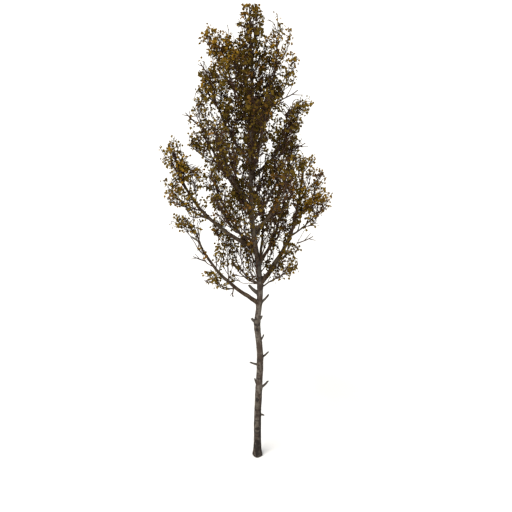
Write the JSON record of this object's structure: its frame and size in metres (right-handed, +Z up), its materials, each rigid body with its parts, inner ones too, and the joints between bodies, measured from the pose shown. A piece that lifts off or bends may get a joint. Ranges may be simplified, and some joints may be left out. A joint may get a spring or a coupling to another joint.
{
  "type": "poplar tree",
  "caption": "Tall slender poplar in autumn leaf, with one straight stem, dead branch stubs and steeply rising boughs in an open, plume-like crown.",
  "frame": {"origin": "centre of the flat cut under the trunk, at ground level", "axes": "+Z up the trunk, +X to the right and +Y away, seen from the side with the lowest long bough on the left"},
  "size_m": [5.1533, 4.32, 15],
  "materials": {
    "bark": "smooth grey-brown bark with dark bands and scars",
    "dead_wood": "weathered, bare",
    "twig": "reddish-brown, smooth",
    "leaf_gold": "satin leaf, golden ochre",
    "leaf_rust": "satin leaf, orange-brown",
    "leaf_olive": "satin leaf, olive"
  },
  "bodies": {
    "root": {"bough_back_1": "bark", "bough_back_2": "bark", "bough_back_3": "bark", "bough_front_1": "bark", "bough_front_2": "bark", "bough_front_3": "bark", "bough_left_1": "bark", "bough_left_2": "bark", "bough_left_3": "bark", "bough_left_4": "bark", "bough_left_5": "bark", "bough_left_6": "bark", "bough_right_1": "bark", "bough_right_2": "bark", "bough_right_3": "bark", "bough_right_4": "bark", "bough_right_5": "bark", "foliage_back_1": "leaf_gold", "foliage_back_2": "leaf_gold", "foliage_back_3": "leaf_gold", "foliage_back_4": "leaf_olive", "foliage_back_5": "leaf_olive", "foliage_back_6": "leaf_rust", "foliage_back_7": "leaf_rust", "foliage_front_1": "leaf_olive", "foliage_front_2": "leaf_olive", "foliage_front_3": "leaf_rust", "foliage_front_4": "leaf_rust", "foliage_front_5": "leaf_rust", "foliage_front_6": "leaf_olive", "foliage_leader": "leaf_rust", "foliage_left_1": "leaf_olive", "foliage_left_1_low": "leaf_olive", "foliage_left_1_upright": "leaf_gold", "foliage_left_2": "leaf_olive", "foliage_left_2_upright": "leaf_rust", "foliage_left_3": "leaf_rust", "foliage_left_3_inner": "leaf_rust", "foliage_left_3_low": "leaf_gold", "foliage_left_4": "leaf_gold", "foliage_left_5": "leaf_olive", "foliage_left_6": "leaf_gold", "foliage_right_1": "leaf_rust", "foliage_right_1_low": "leaf_olive", "foliage_right_2": "leaf_gold", "foliage_right_3": "leaf_rust", "foliage_right_4": "leaf_gold", "foliage_right_5": "leaf_gold", "stub_left_2": "dead_wood", "stub_left_3": "dead_wood", "stub_left_5": "dead_wood", "stub_left_7": "dead_wood", "stub_right_1": "dead_wood", "stub_right_2": "dead_wood", "stub_right_3": "dead_wood", "stub_right_4": "dead_wood", "stub_right_5": "dead_wood", "stub_right_6": "dead_wood", "trunk": "bark"}
  },
  "joints": []
}
